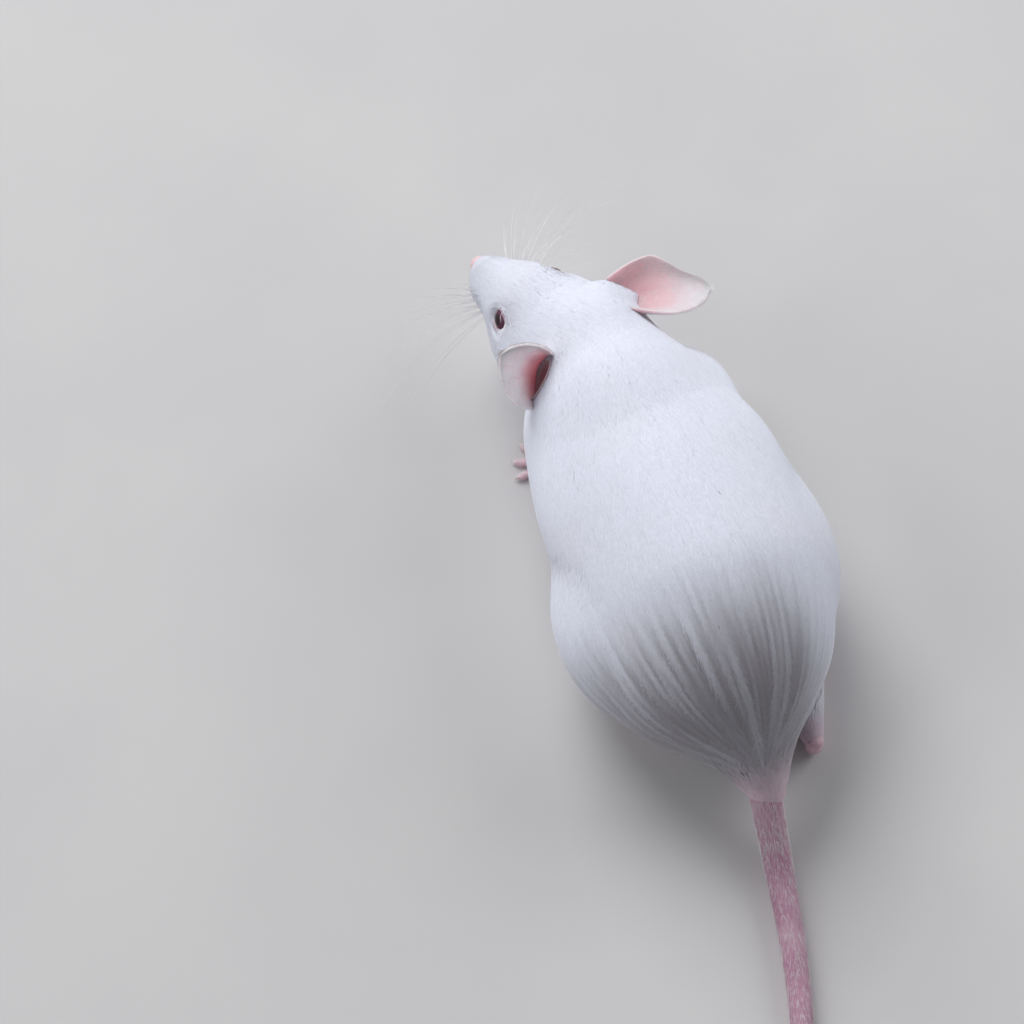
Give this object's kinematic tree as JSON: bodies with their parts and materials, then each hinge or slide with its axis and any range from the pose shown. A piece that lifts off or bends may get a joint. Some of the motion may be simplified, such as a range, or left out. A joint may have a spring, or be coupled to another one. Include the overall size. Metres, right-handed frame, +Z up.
{
  "type": "white pet mouse",
  "caption": "Life-size still model of a white pet mouse crouching on its feet, head turned to its left, tail laid on the floor behind it.",
  "frame": {"origin": "on the floor, under the middle of the whole animal's bounding box, tail included", "axes": "+Z up; the mouse faces -Y, its left side is +X, and the tail runs towards +Y"},
  "size_m": [0.0456, 0.148, 0.0296],
  "materials": {
    "coat": "short white fur",
    "bare_skin": "bare pink skin",
    "ear_skin": "thin pink skin with fine down",
    "tail_skin": "ringed scaly pink skin",
    "eye": "wet dark ruby"
  },
  "bodies": {
    "root": {"head": "coat", "neck": "coat", "chest": "coat", "belly": "coat", "rump": "coat", "haunch_left": "coat", "haunch_right": "coat", "foreleg_left": "coat", "foreleg_right": "coat", "nose": "bare_skin", "ear_left": "ear_skin", "ear_right": "ear_skin", "eye_left": "eye", "eye_right": "eye", "forefoot_left": "bare_skin", "forefoot_right": "bare_skin", "hindfoot_left": "bare_skin", "hindfoot_right": "bare_skin", "tail_1": "tail_skin", "tail_2": "tail_skin", "tail_3": "tail_skin", "tail_4": "tail_skin"}
  },
  "joints": []
}
